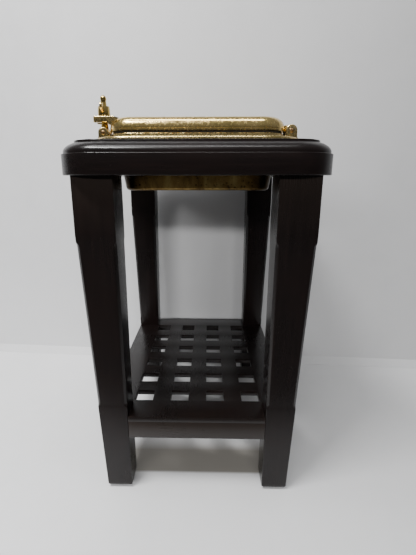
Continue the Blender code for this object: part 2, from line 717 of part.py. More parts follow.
def make_wing_nut(end, y):
    """A hub that tapers a little, with two upswept wings that lie along Y."""
    low = EAR_Z[1] + GAP + WASHER_THICK + GAP
    inner = SHANK_R + GAP
    hub = [(inner, low), (HUB_R[0] - 0.6, low), (HUB_R[0], low + 0.8), (HUB_R[1], HUB_TOP - 1.2)]
    hub += [(HUB_R[1] - 1.2, HUB_TOP), (inner, HUB_TOP)]
    bm = bmesh.new()
    ring_profile(bm, hub, (-FITTING_X, y, TOP_SURFACE), 16)
    nut = finish(bm, f"wing_nut_{end}", BRASS)
    outline = wing_outline(low)
    middle = [sum(point[i] for point in outline) / len(outline) for i in (0, 1)]
    half = WING_THICK / 2
    bm = bmesh.new()
    for side in (-1, 1):
        loops = []
        for x, scale in ((-half, 0.875), (-half + 1.0, 1.0), (half - 1.0, 1.0), (half, 0.875)):
            eased = [[m + (value - m) * scale for m, value in zip(middle, point)] for point in outline]
            loops.append([(x - FITTING_X, y + side * out, TOP_SURFACE + up) for out, up in eased])
        loft(bm, loops)
    boolean(nut, finish(bm, f"nut_wings_{end}"), "UNION")
    put_origin(nut, (-FITTING_X, y, TOP_SURFACE + low))


def wing_outline(low):
    """One wing seen along X: from inside the hub, up to a round tip."""
    tip = arc((WING_REACH - 5.0, WING_TOP - 5.0), (5.0, 5.0), -60, 120, 6)
    return [(6.5, low + 2.5), (10.2, low + 4.8)] + tip + [(9.0, HUB_TOP - 1.5), (6.5, HUB_TOP - 3.0)]


def build():
    clear_scene()
    make_table_top()
    for place, (sx, sy) in CORNERS.items():
        make_leg(place, sx, sy)
        make_glide(place, sx, sy)
    make_rail("rail_front", 0, -1)
    make_rail("rail_rear", 0, 1)
    make_rail("rail_left", 1, -1)
    make_rail("rail_right", 1, 1)
    make_shelf()
    make_screws()
    make_basin()
    make_frame()
    make_lid_ring()
    make_lid_parts()
    for end, y in zip(("front", "rear"), FITTING_Y):
        make_pin(f"hinge_pin_{end}", FITTING_X, y, HINGE_Z)
        make_pin(f"dog_pin_{end}", -FITTING_X, y, DOG_Z)
        make_swing_bolt(end, y)
        make_washer(end, y)
        make_wing_nut(end, y)


build()
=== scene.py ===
import math

import bmesh
import bpy
from mathutils import Euler, Matrix, Vector


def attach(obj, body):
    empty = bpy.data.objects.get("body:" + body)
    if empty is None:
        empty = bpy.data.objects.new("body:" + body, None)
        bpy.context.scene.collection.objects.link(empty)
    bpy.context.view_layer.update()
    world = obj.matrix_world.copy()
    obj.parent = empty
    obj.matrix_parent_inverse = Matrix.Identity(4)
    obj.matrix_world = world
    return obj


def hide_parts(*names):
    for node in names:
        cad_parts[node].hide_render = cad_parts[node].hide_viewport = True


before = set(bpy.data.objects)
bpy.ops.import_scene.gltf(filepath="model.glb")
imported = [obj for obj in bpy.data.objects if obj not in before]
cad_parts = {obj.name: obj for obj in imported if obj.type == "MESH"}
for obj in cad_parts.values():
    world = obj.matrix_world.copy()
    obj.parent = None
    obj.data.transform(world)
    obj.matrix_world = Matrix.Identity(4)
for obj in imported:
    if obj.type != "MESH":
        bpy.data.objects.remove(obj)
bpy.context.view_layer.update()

MM = 0.001

# ---- sizes in millimetres, the same as the CAD model's -------------------------------------------
TOP_HALF = (207.0, 274.0)
TOP_CORNER = 66.0
TOP_THICK = 50.0
TOP_SURFACE = 622.0
TOP_UNDERSIDE = TOP_SURFACE - TOP_THICK
EDGE_INSET = 20.0
FASCIA_TOP = -19.5
OVOLO_FOOT = -17.3
OVOLO_HEAD = -3.0
LEG_HALF = (185.0, 252.0)
LEG_SIDE = 63.0
LEG_TAPER = 17.4
TAPER_START = 483.0
GLIDE_HIGH = 6.0
GLIDE_R = 17.0
CHAMFER = 5.0
LEG_EDGE = 1.2
CHAMFER_SPAN = (178.0, 472.0)
ARRIS = 0.8
SHELF_TOP = 158.0
SHELF_THICK = 10.0
HOLE_SIDE = 34.0
HOLE_PITCH = 68.0
HOLES = (4, 6)
RAIL_HIGH = 34.0
RAIL_THICK = 18.0
GLIDE_AT = (143.0, 210.0)
SHELF_SCREW_Y = 110.0

RING_HALF = (140.3, 207.5)
RING_CORNER = 40.0
RING_WIDE = 34.0
RING_FOOT = 17.0
RING_SHOULDER = 21.0
RING_CROWN = 38.3
MARGIN = 23.2
SEAT_GAP = 0.5
FRAME_SCREW_INSET = 12.0
FRAME_SCREW_AT = (55.0, 62.0)
RETAINER_SCREW_INSET = 22.0
RETAINER_SCREW_AT = (60.0, 90.0)
FLANGE_THICK = 7.0
SEAT_DEEP = 0.4
FRAME_FOOT = -0.1
RIM_TOP = 13.4
OPENING_INSET = 22.3
BASIN_INSET = 17.8
BASIN_FLOOR = -73.7
BASIN_WALL = 2.0
BASIN_BEND = 5.0
BASIN_DRAFT = 0.16
LIP_WIDE = 8.7
REBATE_INSET = 26.0
RETAINER_INSET = 18.0
GLASS_SPAN = (21.0, 27.0)
GLASS_CORNER = 13.0
GASKET_SPAN = (4.3, 11.7)

FITTING_Y = (-168.0, 168.0)
ENDS = ("front", "rear")
CORNERS = {"front_left": (-1, -1), "front_right": (1, -1), "rear_left": (-1, 1), "rear_right": (1, 1)}
FITTING_X = 150.0
EYE_WIDE = 13.0
LUG_THICK = 7.0
HINGE_Z = 19.0
HINGE_LUG_R = 9.2
DOG_Z = 16.5
DOG_LUG_R = 8.3
PIN_R = 3.7
PIN_HOLE = [(PIN_R + 0.2, -18.0), (PIN_R + 0.2, 18.0)]
EAR_Z = (31.7, 41.0)
EAR_HALF = 15.0
EAR_TIP = 165.0
EAR_SLOPE = (-134.0, -117.0)
CUT_TOP = EAR_Z[1] + 5.0
SLOT_HALF = 5.5
RELIEF_HALF = 10.8
SHANK_R = 4.9
BOLT_END = 73.5
WASHER_R = 10.3
WASHER_THICK = 1.5
HUB_R = (9.8, 9.2)
HUB_TOP = 57.2
WING_TOP = 61.0
WING_REACH = 20.0
WING_THICK = 4.4
GAP = 0.3


# ---- mesh helpers --------------------------------------------------------------------------------
def add_object(name, mesh):
    obj = bpy.data.objects.new(name, mesh)
    bpy.context.scene.collection.objects.link(obj)
    return obj


def loft(bm, loops, closed=False):
    """Faces between loops of equal length; open ends are capped, closed runs last to first."""
    rows = [[bm.verts.new([c * MM for c in p]) for p in loop] for loop in loops]
    count = len(rows[0])
    pairs = list(zip(rows, rows[1:])) + ([(rows[-1], rows[0])] if closed else [])
    for low, high in pairs:
        for i in range(count):
            j = (i + 1) % count
            bm.faces.new((low[i], low[j], high[j], high[i]))
    if not closed:
        bm.faces.new(rows[0])
        bm.faces.new(rows[-1])


def finish(bm, name):
    """Turns a bmesh into an object of its own."""
    bmesh.ops.recalc_face_normals(bm, faces=bm.faces)
    mesh = bpy.data.meshes.new(name)
    bm.to_mesh(mesh)
    bm.free()
    smooth(mesh)
    return add_object(name, mesh)


def smooth(mesh, sharp=35.0):
    """Smooth shading, with edges over an angle in degrees left sharp."""
    mesh.shade_smooth()
    mesh.set_sharp_from_angle(angle=math.radians(sharp))


def outline(half_x, half_y, radius, z, steps=20, straight=1):
    """A rectangle with round corners; its sides are cut into equal lengths as well."""
    points = []
    corners = ((1, 1), (-1, 1), (-1, -1), (1, -1))
    for quarter, (sx, sy) in enumerate(corners):
        cx, cy = sx * (half_x - radius), sy * (half_y - radius)
        for k in range(steps + 1):
            turn = math.radians(90 * (quarter + k / steps))
            points.append((cx + radius * math.cos(turn), cy + radius * math.sin(turn), z))
        nx, ny = corners[(quarter + 1) % 4]
        turn = math.radians(90 * (quarter + 1))
        end = (
            nx * (half_x - radius) + radius * math.cos(turn),
            ny * (half_y - radius) + radius * math.sin(turn),
        )
        start = points[-1]
        for k in range(1, straight):
            t = k / straight
            points.append((start[0] + (end[0] - start[0]) * t, start[1] + (end[1] - start[1]) * t, z))
    return points


def inset_loops(half, corner, section, base, steps):
    """One outline for each (inset, height) of a section that runs round a rounded rectangle."""
    return [outline(half[0] - d, half[1] - d, max(corner - d, 1.0), base + h, steps) for d, h in section]


def arc(centre, radii, start, end, steps):
    """Points on an ellipse, between two angles in degrees."""
    turns = [math.radians(start + (end - start) * k / steps) for k in range(steps + 1)]
    return [(centre[0] + radii[0] * math.cos(t), centre[1] + radii[1] * math.sin(t)) for t in turns]


def bezier(p0, p1, p2, p3, steps):
    """Points on a cubic curve in the plane."""
    points = []
    for k in range(steps + 1):
        t = k / steps
        weights = ((1 - t) ** 3, 3 * t * (1 - t) ** 2, 3 * t * t * (1 - t), t**3)
        points.append(tuple(sum(w * p[i] for w, p in zip(weights, (p0, p1, p2, p3))) for i in (0, 1)))
    return points


def add_turned(bm, profile, place=(0, 0, 0), axis="Z", sides=48, closed=False):
    """A solid of revolution from (radius, distance along the axis) points."""
    loops = []
    for radius, along in profile:
        loop = []
        for k in range(sides):
            turn = 2 * math.pi * (k + 0.5) / sides
            a, b = radius * math.cos(turn), radius * math.sin(turn)
            local = (a, b, along) if axis == "Z" else (a, along, b)
            loop.append(tuple(p + q for p, q in zip(place, local)))
        loops.append(loop)
    loft(bm, loops, closed)


def add_box(bm, low, high):
    corners = [(low[0], low[1]), (high[0], low[1]), (high[0], high[1]), (low[0], high[1])]
    loft(bm, [[(x, y, z) for x, y in corners] for z in (low[2], high[2])])


def add_prism(bm, points, low, high, axis):
    """Runs an outline along Y (points are x, z) or along Z (points are x, y)."""
    place = (lambda a, b, c: (a, c, b)) if axis == "Y" else (lambda a, b, c: (a, b, c))
    loft(bm, [[place(a, b, c) for a, b in points] for c in (low, high)])


def bevel(obj, width, segments=3, angle=30.0):
    modifier = obj.modifiers.new("Bevel", "BEVEL")
    modifier.width = width * MM
    modifier.segments = segments
    modifier.limit_method = "ANGLE"
    modifier.angle_limit = math.radians(angle)
    return bake(obj)


def bake(obj):
    """Applies an object's modifiers."""
    graph = bpy.context.evaluated_depsgraph_get()
    graph.update()
    mesh = bpy.data.meshes.new_from_object(obj.evaluated_get(graph))
    obj.modifiers.clear()
    obj.data = mesh
    return obj


def combine(obj, tool, operation="DIFFERENCE"):
    """A boolean that uses its tool up."""
    modifier = obj.modifiers.new("Boolean", "BOOLEAN")
    modifier.operation = operation
    modifier.solver = "EXACT"
    modifier.object = tool
    bake(obj)
    bpy.data.objects.remove(tool, do_unlink=True)
    return obj


def mirrored(points):
    """The same outline on the other side of its first axis, in reverse order."""
    return [(x, -y) for x, y in reversed(points)]


def place_piece(obj, body, nodes, material, sharp=35.0):
    """Gives a finished piece its material and ties it to the CAD frame."""
    obj.data.materials.clear()
    obj.data.materials.append(material)
    smooth(obj.data, sharp)
    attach(obj, body)
    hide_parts(*nodes)
    return obj


# ---- materials -----------------------------------------------------------------------------------
class Nodes:
    """A short way to write a node tree."""

    def __init__(self, name):
        self.material = bpy.data.materials.new(name)
        self.material.use_nodes = True
        self.tree = self.material.node_tree
        self.shader = self.tree.nodes["Principled BSDF"]
        coords = self.tree.nodes.new("ShaderNodeTexCoord")
        self.coords = coords.outputs["Object"]

    def add(self, kind, **inputs):
        node = self.tree.nodes.new(kind)
        for key, value in inputs.items():
            name = key.replace("_", " ")
            if hasattr(value, "links"):
                self.tree.links.new(value, node.inputs[name])
            else:
                node.inputs[name].default_value = value
        return node

    def stretched(self, scale, shift=(0, 0, 0)):
        return self.add("ShaderNodeMapping", Vector=self.coords, Scale=scale, Location=shift).outputs[0]

    def noise(self, vector, scale, detail=4.0, rough=0.55, distortion=0.0):
        values = {"Scale": scale, "Detail": detail, "Roughness": rough, "Distortion": distortion}
        return self.add("ShaderNodeTexNoise", Vector=vector, **values).outputs["Fac"]

    def ramp(self, fac, stops):
        node = self.add("ShaderNodeValToRGB", Fac=fac)
        points = node.color_ramp.elements
        while len(points) < len(stops):
            points.new(0.5)
        for point, (position, colour) in zip(points, stops):
            point.position = position
            point.color = (*colour, 1.0)
        return node.outputs["Color"]

    def grey(self, fac, low, high, start=0.3, end=0.7):
        """A value from low to high, while fac goes from start to end."""
        values = {"From_Min": start, "From_Max": end, "To_Min": low, "To_Max": high}
        return self.add("ShaderNodeMapRange", Value=fac, **values).outputs["Result"]

    def mix(self, fac, a, b, mode="MIX"):
        node = self.tree.nodes.new("ShaderNodeMix")
        node.data_type = "RGBA"
        node.blend_type = mode
        for socket, value in ((node.inputs[0], fac), (node.inputs[6], a), (node.inputs[7], b)):
            if hasattr(value, "links"):
                self.tree.links.new(value, socket)
            elif isinstance(value, tuple):
                socket.default_value = (*value, 1.0)
            else:
                socket.default_value = value
        return node.outputs[2]

    def maths(self, operation, a, b=0.0):
        node = self.tree.nodes.new("ShaderNodeMath")
        node.operation = operation
        for socket, value in zip(node.inputs, (a, b)):
            if hasattr(value, "links"):
                self.tree.links.new(value, socket)
            else:
                socket.default_value = value
        return node.outputs[0]

    def bump(self, height, strength, distance, normal=None):
        node = self.add("ShaderNodeBump", Height=height, Strength=strength, Distance=distance)
        if normal is not None:
            self.tree.links.new(normal, node.inputs["Normal"])
        return node.outputs["Normal"]

    def edges(self, low=0.52, high=0.6):
        """Where the surface is convex, from the mesh's own points."""
        geometry = self.tree.nodes.new("ShaderNodeNewGeometry")
        return self.grey(geometry.outputs["Pointiness"], 0.0, 1.0, low, high)

    def set(self, **inputs):
        for key, value in inputs.items():
            name = key.replace("_", " ")
            if hasattr(value, "links"):
                self.tree.links.new(value, self.shader.inputs[name])
            else:
                self.shader.inputs[name].default_value = value
        return self.material


def dark_wood(name, axis, shift=0.0):
    """Open-grained wood under a near-black stain and a semi-gloss lacquer, grain along one axis."""
    n = Nodes(name)
    along, across = 9.0, 150.0
    scale = tuple(along if i == axis else across for i in range(3))
    fine = tuple(40.0 if i == axis else 900.0 for i in range(3))
    figure = n.noise(n.stretched(scale, (shift, shift * 0.7, shift * 1.3)), 1.0, 6.0, 0.6, 0.4)
    pores = n.noise(n.stretched(fine), 1.0, 3.0, 0.6)
    patches = n.noise(n.coords, 7.0, 3.0)
    stains = [(0.3, (0.0034, 0.0023, 0.0022)), (0.55, (0.0048, 0.0032, 0.0030))]
    stains += [(0.8, (0.0070, 0.0043, 0.0038))]
    base = n.ramp(figure, stains)
    warm = n.mix(n.grey(patches, 0.0, 0.5, 0.45, 0.7), base, (0.0070, 0.0034, 0.0028))
    rubbed = n.mix(n.maths("MULTIPLY", n.edges(0.53, 0.62), 0.35), warm, (0.05, 0.038, 0.030))
    rough = n.maths("ADD", n.grey(pores, 0.0, 0.03), n.grey(patches, 0.24, 0.31))
    normal = n.bump(pores, 0.025, 0.0002, n.bump(figure, 0.02, 0.0004))
    return n.set(
        Base_Color=rubbed,
        Roughness=rough,
        Normal=normal,
        Specular_IOR_Level=0.27,
        Coat_Weight=0.05,
        Coat_Roughness=0.12,
    )


def brass(name, gold=(0.80, 0.60, 0.24), worn=0.55, pit=1.0, rough=(0.13, 0.30)):
    """Cast brass: polished where it stands proud, brown and pitted where it is sheltered."""
    n = Nodes(name)
    clouds = n.noise(n.coords, 26.0, 5.0, 0.6, 0.3)
    blots = n.noise(n.coords, 90.0, 4.0, 0.6)
    skin = n.noise(n.coords, 260.0, 2.0, 0.5)
    grains = n.add("ShaderNodeTexVoronoi", Vector=n.coords, Scale=230.0).outputs["Distance"]
    olive = (gold[0] * 0.70, gold[1] * 0.72, gold[2] * 0.62)
    brown = (gold[0] * 0.42, gold[1] * 0.33, gold[2] * 0.25)
    pale = (gold[0] * 1.1, gold[1] * 1.12, gold[2] * 1.25)
    base = n.ramp(clouds, [(0.30, olive), (0.52, gold), (0.75, pale)])
    tarnish = n.grey(blots, 0.0, worn, 0.56, 0.78)
    coloured = n.mix(tarnish, base, brown)
    pits = n.grey(n.maths("MULTIPLY", grains, n.grey(clouds, 0.6, 1.5, 0.35, 0.65)), 1.0, 0.0, 0.10, 0.24)
    pits = n.maths("MULTIPLY", pits, n.grey(clouds, 0.0, pit, 0.54, 0.64))
    coloured = n.mix(n.maths("MULTIPLY", pits, 0.75), coloured, (0.05, 0.03, 0.01))
    rub = n.mix(n.maths("MULTIPLY", n.edges(), 0.5), coloured, (0.92, 0.76, 0.42))
    roughness = n.maths("ADD", n.grey(skin, rough[0], rough[1]), n.maths("MULTIPLY", tarnish, 0.18))
    normal = n.bump(pits, 0.35, -0.0004, n.bump(skin, 0.035, 0.0003, n.bump(blots, 0.035, 0.0006)))
    return n.set(Base_Color=rub, Roughness=roughness, Normal=normal, Metallic=1.0)


def pan_brass(name):
    """Thin basin metal: brown-gold with darker clouds, runs and pits, and a painted dark reflection on its
    rounded ends.
    """
    n = Nodes(name)
    runs = n.noise(n.stretched((26.0, 26.0, 7.0)), 1.0, 5.0, 0.65, 0.6)
    clouds = n.noise(n.coords, 12.0, 5.0, 0.6, 0.2)
    spots = n.add("ShaderNodeTexVoronoi", Vector=n.coords, Scale=170.0).outputs["Distance"]
    fine = n.noise(n.coords, 240.0, 3.0, 0.6)
    metals = [(0.34, (0.07, 0.042, 0.015)), (0.5, (0.24, 0.155, 0.052)), (0.68, (0.42, 0.32, 0.12))]
    base = n.ramp(runs, metals)
    stained = n.mix(n.grey(clouds, 0.0, 0.8, 0.46, 0.62), base, (0.085, 0.045, 0.015))
    pits = n.maths("MULTIPLY", n.grey(spots, 1.0, 0.0, 0.16, 0.34), n.grey(clouds, 0.0, 1.0, 0.42, 0.54))
    # painted reflection: the rounded ends of the basin, from about 105 mm out from the middle, are painted
    # near-black for the dark legs they mirror
    across = n.maths("ABSOLUTE", n.add("ShaderNodeSeparateXYZ", Vector=n.coords).outputs["X"])
    ends = n.maths("ADD", across, n.maths("MULTIPLY", clouds, 0.03))
    painted_dark_ends = n.mix(n.grey(ends, 0.0, 0.92, 0.105, 0.122), stained, (0.014, 0.009, 0.005))
    coloured = n.mix(n.maths("MULTIPLY", pits, 0.85), painted_dark_ends, (0.018, 0.010, 0.004))
    normal = n.bump(pits, 0.5, -0.0006, n.bump(fine, 0.18, 0.0005, n.bump(runs, 0.35, 0.0016)))
    return n.set(Base_Color=coloured, Roughness=n.grey(fine, 0.26, 0.48), Normal=normal, Metallic=1.0)


def rubber(name):
    n = Nodes(name)
    grain = n.noise(n.coords, 500.0, 3.0)
    base = n.ramp(grain, [(0.35, (0.006, 0.006, 0.006)), (0.65, (0.016, 0.015, 0.014))])
    normal = n.bump(grain, 0.2, 0.0003)
    return n.set(Base_Color=base, Roughness=n.grey(grain, 0.55, 0.75), Normal=normal)


def plate_glass(name):
    n = Nodes(name)
    smears = n.noise(n.stretched((9.0, 4.0, 4.0)), 1.0, 4.0)
    return n.set(
        Base_Color=(0.86, 0.93, 0.91, 1.0),
        Roughness=n.grey(smears, 0.01, 0.06),
        Transmission_Weight=1.0,
        IOR=1.5,
    )


def steel(name):
    n = Nodes(name)
    lines = n.noise(n.stretched((600.0, 600.0, 40.0)), 1.0, 3.0)
    base = n.ramp(lines, [(0.3, (0.30, 0.30, 0.31)), (0.7, (0.52, 0.52, 0.52))])
    normal = n.bump(lines, 0.1, 0.0002)
    return n.set(Base_Color=base, Roughness=n.grey(lines, 0.28, 0.42), Normal=normal, Metallic=1.0)


WOOD_X = dark_wood("dark_wood_x", 0, 0.4)
WOOD_Y = dark_wood("dark_wood_y", 1, 1.9)
WOOD_Z = dark_wood("dark_wood_z", 2, 3.1)
CAST = brass("cast_brass")
RIM = brass("rim_brass", gold=(0.72, 0.55, 0.24), worn=0.7, rough=(0.16, 0.34))
TURNED = brass("turned_brass", gold=(0.74, 0.53, 0.18), worn=0.45, pit=0.6, rough=(0.14, 0.28))
PAN = pan_brass("basin_brass_pan")
RUBBER = rubber("black_rubber")
GLASS = plate_glass("plate_glass")
STEEL = steel("plain_steel")


# ---- the wooden stand ----------------------------------------------------------------------------
def leg_inset(z):
    return LEG_TAPER * max(0.0, (TAPER_START - z) / (TAPER_START - GLIDE_HIGH))


def rail_line(axis, z):
    return LEG_HALF[axis] - leg_inset(z)


def make_top():
    ovolo = bezier((3.0, OVOLO_FOOT), (3.0, -10.5), (11.5, -5.5), (EDGE_INSET, OVOLO_HEAD), 18)
    section = arc((1.2, -TOP_THICK + 1.2), (1.2, 1.2), 270, 180, 4)
    section += arc((0.8, FASCIA_TOP - 0.8), (0.8, 0.8), 180, 90, 4)
    section += [(2.4, FASCIA_TOP + 0.1), (2.9, FASCIA_TOP + 0.5)]
    section += ovolo + [(EDGE_INSET + 0.15, -2.5), (EDGE_INSET + 0.1, -1.2)]
    section += arc((EDGE_INSET + 1.0, -0.9), (0.9, 0.9), 180, 90, 4)
    loops = inset_loops(TOP_HALF, TOP_CORNER, section, TOP_SURFACE, 32)
    seat = MARGIN + SEAT_GAP
    half = [side + seat for side in RING_HALF]
    for height in (0.0, -SEAT_DEEP):
        loops.append(outline(*half, RING_CORNER + seat, TOP_SURFACE + height, 32))
    half_x, half_y, corner = basin_half(0.0)
    rebate = LIP_WIDE + 0.6
    for spare, height in ((rebate, -SEAT_DEEP), (rebate, -2.6), (1.3, -2.6), (1.3, -TOP_THICK)):
        loops.append(outline(half_x + spare, half_y + spare, corner + spare, TOP_SURFACE + height, 32))
    bm = bmesh.new()
    loft(bm, loops, closed=True)
    place_piece(finish(bm, "wooden_top"), "stand", ["table_top"], WOOD_X, 28.0)


def cut_rectangle(low, high, cuts, steps=3):
    """A rectangle whose corners are cut off, each cut with its two ends eased."""
    points = []
    corners = ((low[0], low[1], 1, 1), (high[0], low[1], -1, 1))
    corners += ((high[0], high[1], -1, -1), (low[0], high[1], 1, -1))
    for i, (x, y, sx, sy) in enumerate(corners):
        first = (x, y + sy * cuts) if i % 2 == 0 else (x + sx * cuts, y)
        last = (x + sx * cuts, y) if i % 2 == 0 else (x, y + sy * cuts)
        ease = min(0.9, cuts * 0.45)
        for end, other, is_first in ((first, last, True), (last, first, False)):
            run = Vector((other[0] - end[0], other[1] - end[1])).normalized() * ease
            side = Vector((end[0] - x, end[1] - y)).normalized() * ease
            a = Vector(end) + side
            c = Vector(end) + run
            ring = []
            for k in range(steps + 1):
                t = k / steps
                ring.append(a * (1 - t) ** 2 + Vector(end) * 2 * t * (1 - t) + c * t * t)
            points += [tuple(p) for p in (ring if is_first else reversed(ring))]
    return points


def make_leg(place, sx, sy, material):
    """A tapered leg from levels of (height, corner cut, set back all round)."""
    low, high = CHAMFER_SPAN
    levels = [(GLIDE_HIGH, 3.4, 1.2), (GLIDE_HIGH + 0.5, 2.4, 0.4), (GLIDE_HIGH + 1.6, 1.6, 0.0)]
    levels += [(GLIDE_HIGH + 6.0, LEG_EDGE, 0.0), (low - 1.0, LEG_EDGE, 0.0)]
    stop = ((0.0, 1.5), (2.0, 3.4), (5.0, 4.6), (9.0, CHAMFER))
    levels += [(low + rise, cut, 0.0) for rise, cut in stop]
    levels += [(high - rise, cut, 0.0) for rise, cut in reversed(stop)]
    levels += [(z, LEG_EDGE, 0.0) for z in (high + 1.0, TAPER_START, TOP_UNDERSIDE - 0.1)]
    bm = bmesh.new()
    loops = []
    inner = [side - LEG_SIDE for side in LEG_HALF]
    for z, cut, back in levels:
        outer = [side - leg_inset(z) for side in LEG_HALF]
        low = [v + back for v in inner]
        high = [v - back for v in outer]
        loops.append([(sx * x, sy * y, z) for x, y in cut_rectangle(low, high, cut)])
    loft(bm, loops)
    leg = finish(bm, f"stand_leg_{place}")
    place_piece(leg, "stand", [f"leg_{place}"], material, 22.0)


def make_rail(name, axis, side, material):
    across = 1 - axis
    bottom = SHELF_TOP - SHELF_THICK - RAIL_HIGH
    top = SHELF_TOP - SHELF_THICK - 0.1
    reach = LEG_HALF[axis] - LEG_SIDE - 0.05
    inner = rail_line(across, SHELF_TOP) - RAIL_THICK
    face = [(inner, bottom), (rail_line(across, bottom), bottom)]
    face += [(rail_line(across, top), top), (inner, top)]
    loops = []
    for end in (-reach, reach):
        loop = []
        for out, z in face:
            point = [0.0, 0.0, z]
            point[axis] = end
            point[across] = side * out
            loop.append(tuple(point))
        loops.append(loop)
    bm = bmesh.new()
    loft(bm, loops)
    rail = bevel(finish(bm, f"shelf_{name}"), 0.3, 2)
    place_piece(rail, "stand", [name], material)


def make_shelf():
    """A board made cell by cell, so that its holes and notches have clean eased edges."""
    edge = [rail_line(i, SHELF_TOP) - 0.1 for i in (0, 1)]
    notch = [side - LEG_SIDE - GAP for side in LEG_HALF]
    lines = []
    for axis in (0, 1):
        values = [-edge[axis], -notch[axis], notch[axis], edge[axis]]
        for i in range(HOLES[axis]):
            middle = (i - (HOLES[axis] - 1) / 2) * HOLE_PITCH
            values += [middle - HOLE_SIDE / 2, middle + HOLE_SIDE / 2]
        lines.append(sorted(values))

    def solid(i, j):
        if not (0 <= i < len(lines[0]) - 1 and 0 <= j < len(lines[1]) - 1):
            return False
        x = (lines[0][i] + lines[0][i + 1]) / 2
        y = (lines[1][j] + lines[1][j + 1]) / 2
        if abs(x) > notch[0] and abs(y) > notch[1]:
            return False
        inside = [abs(v) < n * HOLE_PITCH / 2 for v, n in zip((x, y), HOLES)]
        phases = [(v / HOLE_PITCH + n / 2) % 1.0 for v, n in zip((x, y), HOLES)]
        open_here = [abs(phase - 0.5) * HOLE_PITCH < HOLE_SIDE / 2 for phase in phases]
        return not all(inside + open_here)

    bm = bmesh.new()
    low, high = SHELF_TOP - SHELF_THICK, SHELF_TOP
    verts = {}

    def vert(i, j, z):
        key = (i, j, z)
        if key not in verts:
            verts[key] = bm.verts.new((lines[0][i] * MM, lines[1][j] * MM, z * MM))
        return verts[key]

    for i in range(len(lines[0]) - 1):
        for j in range(len(lines[1]) - 1):
            if not solid(i, j):
                continue
            ring = [(i, j), (i + 1, j), (i + 1, j + 1), (i, j + 1)]
            bm.faces.new([vert(a, b, high) for a, b in ring])
            bm.faces.new([vert(a, b, low) for a, b in reversed(ring)])
            around = ((i, j - 1), (i + 1, j), (i, j + 1), (i - 1, j))
            for k, near in enumerate(around):
                if not solid(*near):
                    a, b = ring[k], ring[(k + 1) % 4]
                    bm.faces.new([vert(*a, low), vert(*b, low), vert(*b, high), vert(*a, high)])
    shelf = bevel(finish(bm, "shelf_board"), 0.4, 2)
    place_piece(shelf, "stand", ["shelf_grating"], WOOD_Y)


def make_glide(place, sx, sy):
    profile = arc((GLIDE_R - 1.2, 1.2), (1.2, 1.2), 270, 360, 5)
    profile += arc((GLIDE_R - 1.2, GLIDE_HIGH - 1.3), (1.2, 1.2), 0, 90, 5)
    profile = [(6.0, 0.0)] + profile + [(3.0, GLIDE_HIGH - 0.1)]
    bm = bmesh.new()
    add_turned(bm, profile, (sx * GLIDE_AT[0], sy * GLIDE_AT[1], 0.0))
    pad = finish(bm, f"foot_pad_{place}")
    place_piece(pad, "stand", [f"glide_{place}"], RUBBER)


# ---- the basin and its frame ---------------------------------------------------------------------
def basin_half(height):
    inset = BASIN_INSET + BASIN_DRAFT * max(0.0, -TOP_THICK - height)
    return RING_HALF[0] - inset, RING_HALF[1] - inset, RING_CORNER - inset


def make_basin():
    loops = []

    def level(height, inwards=0.0):
        half_x, half_y, corner = basin_half(height)
        args = (half_x - inwards, half_y - inwards, corner - inwards, TOP_SURFACE + height)
        loops.append(outline(*args, 16, 12))

    bend = arc((0, 0), (1, 1), 0, 90, 8)
    for across, down in reversed(bend):
        level(BASIN_FLOOR + BASIN_BEND * (1 - down), BASIN_BEND * (1 - across))
    level(-TOP_THICK)
    level(-4.5)
    for out, up in arc((-2.0, -4.3), (2.0, 2.0), 0, 90, 4):
        level(up, -2.0 - out)
    level(-2.3, -LIP_WIDE + 0.4)
    level(-1.9, -LIP_WIDE)
    level(-SEAT_DEEP - 0.4, -LIP_WIDE)
    level(-SEAT_DEEP, -LIP_WIDE + 0.4)
    for out, up in arc((-2.0, -4.3 - SEAT_DEEP), (4.2, 4.3), 90, 0, 5):
        level(up, -2.0 - out + 2.0 * 2.1)
    level(-TOP_THICK, BASIN_WALL)
    inner = BASIN_BEND - BASIN_WALL
    for across, down in bend:
        level(BASIN_FLOOR + BASIN_WALL + inner * (1 - down), BASIN_WALL + inner * (1 - across))
    bm = bmesh.new()
    loft(bm, loops)
    place_piece(finish(bm, "basin_pan"), "stand", ["basin"], PAN, 40.0)


def frame_screw_places():
    line_x = RING_HALF[0] + MARGIN - FRAME_SCREW_INSET
    line_y = RING_HALF[1] + MARGIN - FRAME_SCREW_INSET
    diagonal = (RING_CORNER + MARGIN - FRAME_SCREW_INSET) * (1 - math.sqrt(0.5))
    places = [(line_x - diagonal, line_y - diagonal)]
    places += [(FRAME_SCREW_AT[0], line_y), (line_x, FRAME_SCREW_AT[1])]
    return [(sx * x, sy * y) for x, y in places for sx in (-1, 1) for sy in (-1, 1)]


def lug_outline(x, z, radius, foot, steps=20):
    side = [(x + radius + 3.0, foot), (x + radius + 3.0, foot + 3.6)]
    side += [(x + radius + 1.2, foot + 5.0), (x + radius + 0.3, foot + 6.4), (x + radius, foot + 8.0)]
    other = [(2 * x - px, pz) for px, pz in reversed(side)]
    return side + arc((x, z), (radius, radius), 0, 180, steps) + other


def fitting_spans(y):
    near = EYE_WIDE / 2 + GAP
    return [(y - near - LUG_THICK, y - near), (y + near, y + near + LUG_THICK)]


